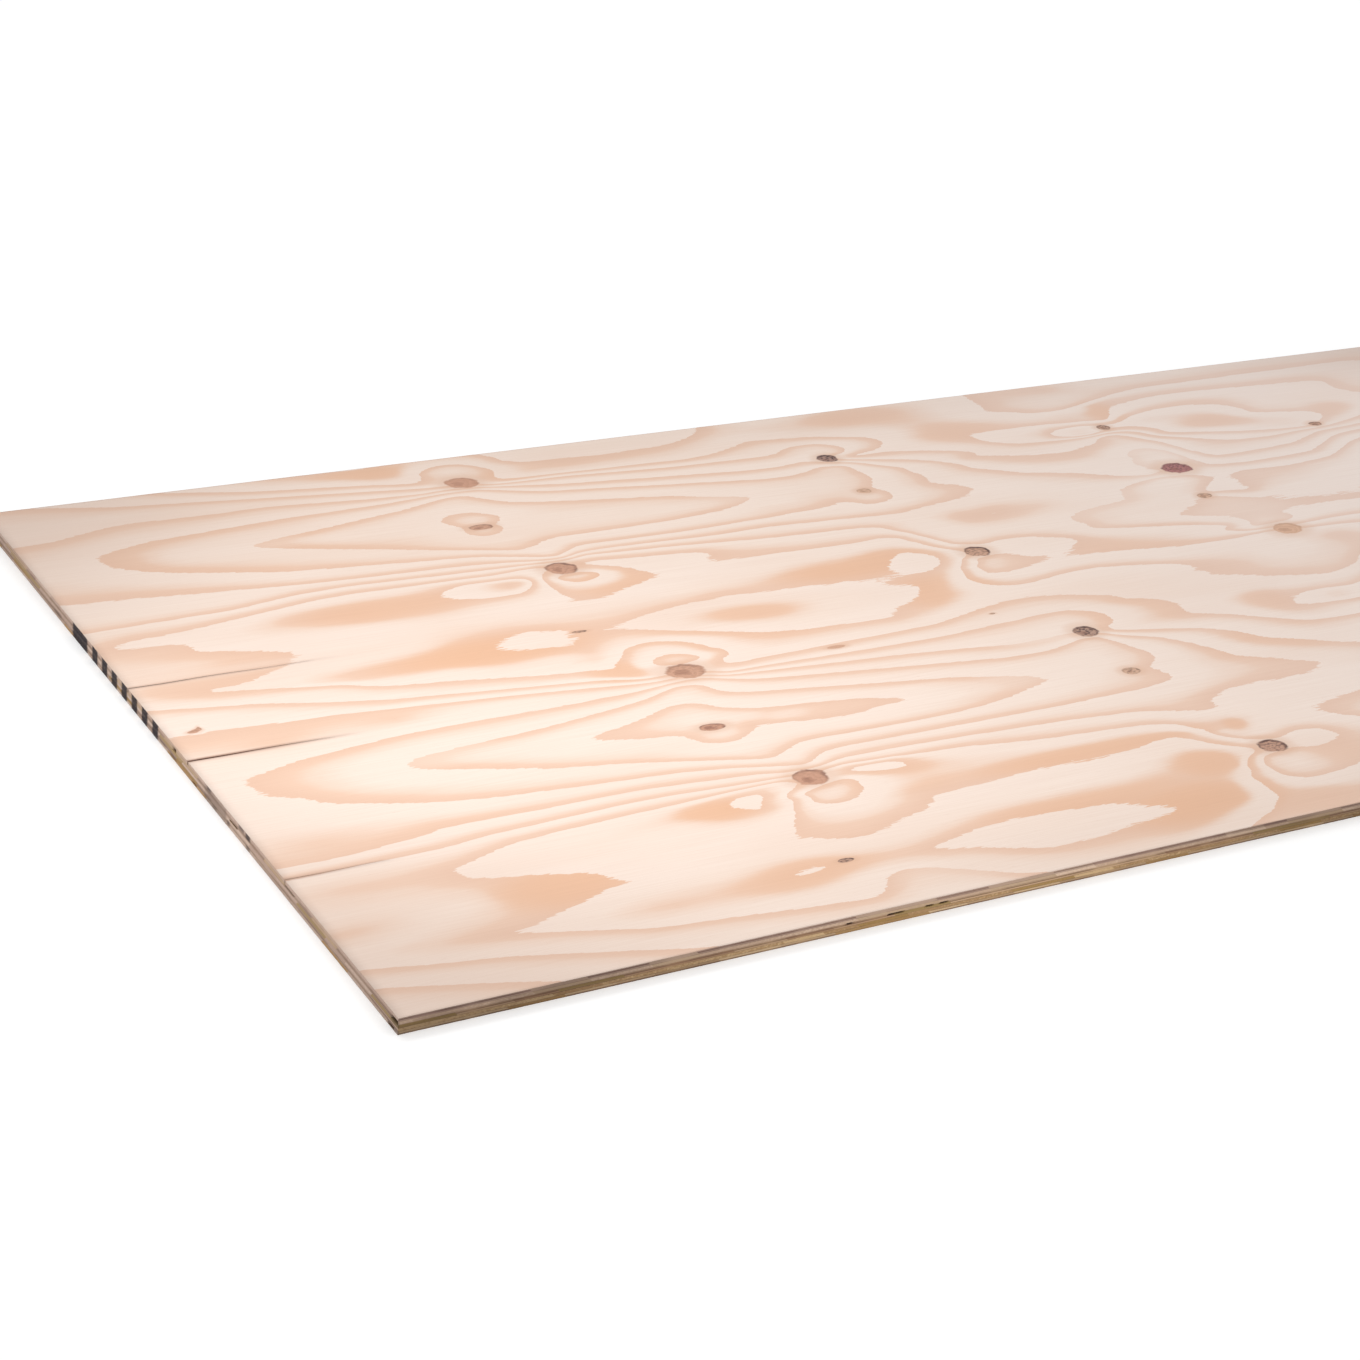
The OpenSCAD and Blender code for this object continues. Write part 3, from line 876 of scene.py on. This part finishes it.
class Nodes:
    """Short calls for building one material's node tree."""

    def __init__(self, name):
        self.material = bpy.data.materials.new(name)
        self.material.use_nodes = True
        self.tree = self.material.node_tree
        self.shader = self.tree.nodes["Principled BSDF"]
        self.place = self.add("ShaderNodeTexCoord").outputs["Object"]

    def add(self, kind, inputs=None, **settings):
        node = self.tree.nodes.new(kind)
        for key, value in settings.items():
            setattr(node, key, value)
        for key, value in (inputs or {}).items():
            self.put(node.inputs[key], value)
        return node

    def put(self, socket, value):
        if isinstance(value, bpy.types.NodeSocket):
            self.tree.links.new(value, socket)
        else:
            socket.default_value = value

    def math(self, operation, first, second=0.0):
        return self.add("ShaderNodeMath", {0: first, 1: second}, operation=operation).outputs[0]

    def vector(self, operation, first, second=(0.0, 0.0, 0.0), output="Value"):
        node = self.add("ShaderNodeVectorMath", {0: first, 1: second}, operation=operation)
        return node.outputs[output]

    def ramp(self, factor, low, high, start=0.0, end=1.0):
        """Smooth change from start to end while factor goes from low to high."""
        inputs = {"Value": factor, "From Min": low, "From Max": high, "To Min": start, "To Max": end}
        return self.add("ShaderNodeMapRange", inputs, interpolation_type="SMOOTHSTEP").outputs["Result"]

    def noise(self, scale, detail):
        """Noise with its features' number per metre along X, Y and Z."""
        spot = self.add("ShaderNodeMapping", {"Vector": self.place, "Scale": scale}).outputs[0]
        inputs = {"Vector": spot, "Scale": 1.0, "Detail": detail}
        return self.add("ShaderNodeTexNoise", inputs).outputs["Fac"]

    def colours(self, factor, stops):
        """Colour ramp with (position, colour) stops."""
        node = self.add("ShaderNodeValToRGB", {"Fac": factor})
        elements = node.color_ramp.elements
        while len(elements) < len(stops):
            elements.new(0.5)
        for element, (position, colour) in zip(elements, stops):
            element.position = position
            element.color = colour
        return node.outputs["Color"]

    def mix(self, factor, first, second, blend="MIX"):
        node = self.add("ShaderNodeMix", data_type="RGBA", blend_type=blend)
        self.put(node.inputs[0], factor)
        self.put(node.inputs[6], first)
        self.put(node.inputs[7], second)
        return node.outputs[2]

    def attribute(self, name, output="Fac"):
        return self.add("ShaderNodeAttribute", attribute_name=name).outputs[output]

    def finish(self, colour, bump_height, bump_distance, roughness, specular):
        inputs = {"Height": bump_height, "Distance": bump_distance, "Strength": 1.0}
        bump = self.add("ShaderNodeBump", inputs)
        self.put(self.shader.inputs["Base Color"], colour)
        self.put(self.shader.inputs["Normal"], bump.outputs[0])
        self.put(self.shader.inputs["Roughness"], roughness)
        self.put(self.shader.inputs["Specular IOR Level"], specular)
        return self.material


def from_side(n):
    """Distance in metres from the nearest long side."""
    place = n.add("ShaderNodeSeparateXYZ", {0: n.place})
    return n.math("SUBTRACT", SHEET_WIDTH * MM / 2, n.math("ABSOLUTE", place.outputs["Y"]))


def from_corner(n):
    """Distance in metres from the nearest end and from the nearest long side, added up."""
    place = n.add("ShaderNodeSeparateXYZ", {0: n.place})
    from_end = n.math("SUBTRACT", SHEET_LENGTH * MM / 2, n.math("ABSOLUTE", place.outputs["X"]))
    return n.math("ADD", from_end, from_side(n))


def face_wood(name):
    """Peeled softwood: ring bands with a soft side and a sharp, fibrous side, and knots."""
    n = Nodes(name)
    fray = n.math("SUBTRACT", n.noise((40, 420, 1), detail=3.0), 0.5)
    wave = n.math("SUBTRACT", n.noise((9, 60, 1), detail=2.0), 0.5)
    ring = n.math("ADD", n.attribute("ring"), n.math("MULTIPLY", fray, 0.10))
    ring = n.math("ADD", ring, n.math("MULTIPLY", wave, 0.10))
    band = n.math("FRACT", ring)
    wood = n.colours(band, [
        (0.0, tone(252, 233, 220)),
        (0.3, tone(251, 231, 217)),
        (0.5, tone(247, 220, 202)),
        (0.66, tone(243, 209, 187)),
        (0.96, tone(239, 202, 179)),
    ])
    late = n.math("MULTIPLY", n.ramp(band, 0.35, 0.6), n.attribute("orange"))
    wood = n.mix(n.math("MULTIPLY", late, 0.75), wood, tone(240, 188, 150))
    wood = n.mix(n.attribute("faint"), wood, tone(251, 231, 217))
    # Fibres, resin streaks and slow changes of tone
    fibre = n.noise((7, 650, 1), detail=3.0)
    wood = n.mix(n.ramp(fibre, 0.3, 0.7, 0.10, 0.0), wood, tone(206, 160, 126))
    cloud = n.noise((1.6, 7, 1), detail=2.0)
    wood = n.mix(n.ramp(cloud, 0.45, 0.75, 0.0, 0.22), wood, tone(236, 196, 168))
    fleck = n.noise((55, 1100, 1), detail=1.0)
    wood = n.mix(n.ramp(fleck, 0.70, 0.78, 0.0, 0.18), wood, tone(186, 134, 100))
    # The wood is warmer towards the -X end and greyer towards the other, and darker towards the corners
    # and along the rest of the long sides
    along = n.add("ShaderNodeSeparateXYZ", {0: n.place}).outputs["X"]
    wood = n.mix(n.ramp(along, -0.5, 0.9, 0.0, 0.28), wood, tone(218, 216, 220))
    wood = n.mix(n.ramp(from_corner(n), 0.0, 0.6, 0.4, 0.0), wood, tone(178, 150, 134))
    sides = n.math("MULTIPLY", n.ramp(from_side(n), 0.0, 0.16, 0.12, 0.0), n.ramp(along, -0.95, -0.5))
    wood = n.mix(sides, wood, tone(178, 150, 134))
    wood = n.mix(n.attribute("stain"), wood, tone(140, 92, 70))

    # Knots: a soft surround, a pale, brown or red heart ringed about an off-centre pith, flecks of bark,
    # and a rim that is darkest on one side
    knot = n.attribute("knot", "Vector")
    look = n.add("ShaderNodeSeparateXYZ", {0: n.attribute("knot_look", "Vector")})
    rim_dark, bark, red = look.outputs["X"], look.outputs["Y"], look.outputs["Z"]
    uneven = n.math("SUBTRACT", n.noise((60, 80, 1), detail=3.0), 0.5)
    reach = n.math("ADD", n.vector("LENGTH", knot), n.math("MULTIPLY", uneven, 0.6))
    wood = n.mix(n.ramp(reach, 1.0, 2.2, 0.4, 0.0), wood, tone(222, 178, 148))
    lean = n.vector("DOT_PRODUCT", knot, (0.5, -0.8, 0.0))
    heart = n.colours(red, [
        (0.0, tone(228, 188, 160)),
        (0.5, tone(200, 146, 122)),
        (1.0, tone(188, 118, 120)),
    ])
    heart = n.mix(n.math("MULTIPLY", n.math("MULTIPLY", bark, bark), 0.8), heart, tone(150, 120, 114))
    pith = n.vector("LENGTH", n.vector("ADD", knot, (0.3, -0.15, 0.0), "Vector"))
    pith = n.math("ADD", pith, uneven)
    grain = n.math("FRACT", n.math("MULTIPLY", pith, 2.6))
    heart = n.mix(n.math("MULTIPLY", grain, 0.25), heart, tone(166, 116, 90))
    cored = n.math("MULTIPLY", rim_dark, n.math("SUBTRACT", 2.0, n.math("MULTIPLY", rim_dark, 2.0)))
    core = n.math("MULTIPLY", n.ramp(pith, 0.1, 0.5, 1.0, 0.0), cored)
    heart = n.mix(core, heart, tone(134, 86, 68))
    check = n.noise((190, 320, 1), detail=4.0)
    flecks = n.math("ADD", check, n.math("MULTIPLY", lean, 0.06))
    flecks = n.math("MULTIPLY", n.ramp(flecks, 0.46, 0.62), bark)
    heart = n.mix(flecks, heart, tone(70, 50, 50))
    rim = n.ramp(n.math("ADD", reach, n.math("MULTIPLY", lean, 0.22)), 0.72, 0.98)
    broken = n.ramp(n.noise((45, 60, 1), detail=2.0), 0.4, 0.6, 0.45, 1.0)
    rim = n.math("MULTIPLY", rim, n.math("MULTIPLY", rim_dark, broken))
    heart = n.mix(rim, heart, tone(88, 60, 54))
    wood = n.mix(n.ramp(reach, 0.9, 1.08, 1.0, 0.0), wood, heart)

    height = n.math("ADD", fibre, n.math("MULTIPLY", n.ramp(reach, 0.8, 1.1, 1.0, 0.0), check))
    return n.finish(wood, height, 0.0002, 0.62, 0.25)


def edge_wood(name, grain, tones, line_height):
    """Sawn edge of a ply, with its grain, tones and line of late wood as in PLIES."""
    n = Nodes(name)
    side_pale, side_dark, end_pale, end_dark, odd_strip = [tone(*levels) for levels in tones]
    long_way = (6, 400, 450) if grain == "X" else (400, 6, 450)
    streak = n.noise(long_way, detail=3.0)
    patch = n.noise((11, 11, 90), detail=2.0)
    normal = n.add("ShaderNodeSeparateXYZ", {0: n.add("ShaderNodeNewGeometry").outputs["True Normal"]})
    endness = n.ramp(n.math("ABSOLUTE", normal.outputs[grain]), 0.4, 0.8)
    # Strips of veneer lie side by side in a ply, each with a tone of its own and a slanted joint
    place = n.add("ShaderNodeSeparateXYZ", {0: n.place})
    along = n.math("ADD", n.math("ADD", place.outputs["X"], place.outputs["Y"]), place.outputs["Z"])
    shifted = n.math("ADD", along, STRIP_SHIFT * line_height)
    cells = n.add(
        "ShaderNodeTexVoronoi", {"W": shifted, "Scale": STRIPS_PER_METRE}, voronoi_dimensions="1D")
    strip = n.add("ShaderNodeSeparateColor", {0: cells.outputs["Color"]})
    mixed = n.math("ADD", n.math("MULTIPLY", streak, 0.5), n.math("MULTIPLY", patch, 0.2))
    mixed = n.math("ADD", mixed, n.math("MULTIPLY", strip.outputs[0], 0.3))
    mixed = n.ramp(mixed, 0.36, 0.64)
    side = n.mix(mixed, side_dark, side_pale)
    end = n.mix(mixed, end_dark, end_pale)
    breaks = n.noise((30, 30, 1), detail=2.0)
    layer = n.attribute("layer")
    away = n.math("ABSOLUTE", n.math("SUBTRACT", layer, line_height))
    line = n.math("MULTIPLY", n.ramp(away, 0.05, 0.32, 0.8, 0.0), n.ramp(breaks, 0.3, 0.55, 0.5, 1.0))
    side = n.mix(line, side, tone(126, 96, 80))
    wood = n.mix(endness, side, end)
    wood = n.mix(n.ramp(strip.outputs[1], 0.6, 0.65, 0.0, 0.8), wood, odd_strip)
    # Glue lines at the ply's upper and lower margins
    margin = n.math("MINIMUM", layer, n.math("SUBTRACT", 1.0, layer))
    glue = n.math("MULTIPLY", n.ramp(margin, 0.02, 0.14, 1.0, 0.0), n.ramp(breaks, 0.35, 0.6, 0.2, 0.6))
    wood = n.mix(glue, wood, tone(116, 86, 74))
    # The edges are darker towards the corners, and along the sides also at their middle
    corner = n.ramp(from_corner(n), 0.0, 0.35, 0.2, 0.0)
    from_middle = n.math("ABSOLUTE", place.outputs["X"])
    from_palest = n.math("ABSOLUTE", n.math("SUBTRACT", from_middle, PALEST_PLACE))
    side_darkening = n.ramp(from_palest, 0.05, 0.6, 0.0, 0.72)
    edge_darkening = n.ramp(n.math("ABSOLUTE", normal.outputs["Y"]), 0.4, 0.8, corner, side_darkening)
    edge_darkening = n.math("MULTIPLY", edge_darkening, n.ramp(patch, 0.3, 0.6, 0.6, 1.0))
    wood = n.mix(edge_darkening, wood, tone(136, 130, 130), "MULTIPLY")
    # Painted shade in the hollows and on the walls of the splits
    wood = n.mix(n.attribute("hollow_shade"), wood, tone(58, 38, 30))
    wood = n.mix(n.attribute("ink"), wood, tone(24, 20, 32))
    return n.finish(wood, streak, 0.0004, 0.75, 0.2)


def make_sheet():
    """The five plies, each standing for its CAD node."""
    outer = face_wood("figured_veneer")
    for seed, (node, (name, grain, *tones, line_height)) in enumerate(PLIES.items(), FIRST_SEED):
        edge = edge_wood(name + "_edge", grain, tones, line_height)
        if node == "face_veneer":
            piece = figured_ply(node, name, [outer, edge], 1, FACE_ROW, SPLITS, seed)
        elif node == "back_veneer":
            piece = figured_ply(node, name, [outer, edge], 2, BACK_ROW, [], seed, back=True)
        else:
            piece = inner_ply(node, name, edge, seed)
        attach(piece, "root")
        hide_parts(node)


# Stage

def make_floor():
    """White floor that still takes the sheet's shadow."""
    mesh = bpy.data.meshes.new("floor")
    corners = [(x * FLOOR_REACH, y * FLOOR_REACH, 0) for x, y in ((-1, -1), (1, -1), (1, 1), (-1, 1))]
    mesh.from_pydata(corners, [], [(0, 1, 2, 3)])
    floor = bpy.data.objects.new("floor", mesh)
    bpy.context.collection.objects.link(floor)
    n = Nodes("floor_white")
    rays = n.add("ShaderNodeLightPath")
    seen = n.math("MAXIMUM", rays.outputs["Is Camera Ray"], rays.outputs["Is Glossy Ray"])
    glow = n.add("ShaderNodeEmission", {"Strength": n.math("MULTIPLY", seen, FLOOR_GLOW)})
    diffuse = n.add("ShaderNodeBsdfDiffuse", {"Color": (FLOOR_SHADE, FLOOR_SHADE, FLOOR_SHADE, 1)})
    both = n.add("ShaderNodeAddShader", {0: diffuse.outputs[0], 1: glow.outputs[0]})
    n.put(n.tree.nodes["Material Output"].inputs["Surface"], both.outputs[0])
    n.tree.nodes.remove(n.shader)
    mesh.materials.append(n.material)


def make_light():
    """Even white surroundings and one broad soft lamp over the -X half of the sheet."""
    world = bpy.data.worlds.new("studio")
    bpy.context.scene.world = world
    world.use_nodes = True
    tree = world.node_tree
    background = tree.nodes["Background"]
    background.inputs["Color"].default_value = (1, 1, 1, 1)
    rays = tree.nodes.new("ShaderNodeLightPath")
    level = tree.nodes.new("ShaderNodeMapRange")
    level.inputs["To Min"].default_value = SKY_LEVEL
    level.inputs["To Max"].default_value = 1.0
    tree.links.new(rays.outputs["Is Camera Ray"], level.inputs["Value"])
    tree.links.new(level.outputs[0], background.inputs["Strength"])
    lamp = bpy.data.lights.new("soft_lamp", "AREA")
    lamp.shape = "RECTANGLE"
    lamp.size, lamp.size_y = LAMP_SIZE
    lamp.energy = LAMP_POWER
    lamp.color = LAMP_TINT
    stand = bpy.data.objects.new("soft_lamp", lamp)
    stand.location = LAMP_PLACE
    stand.visible_camera = False
    bpy.context.collection.objects.link(stand)


def make_camera():
    """Camera at the photograph's place and angle."""
    right = np.array(CAMERA_RIGHT)
    up = np.array(CAMERA_UP)
    back = np.cross(right, up)
    pose = Matrix.Identity(4)
    for row in range(3):
        pose[row][0] = right[row]
        pose[row][1] = up[row]
        pose[row][2] = back[row]
        pose[row][3] = CAMERA_PLACE[row]
    lens = bpy.data.cameras.new("camera")
    lens.lens = CAMERA_LENS
    lens.sensor_width = 36.0
    lens.clip_end = 100.0
    camera = bpy.data.objects.new("camera", lens)
    camera.matrix_world = pose
    bpy.context.collection.objects.link(camera)
    bpy.context.scene.camera = camera


make_sheet()
make_floor()
make_light()
make_camera()
bpy.context.scene.view_settings.view_transform = "Standard"
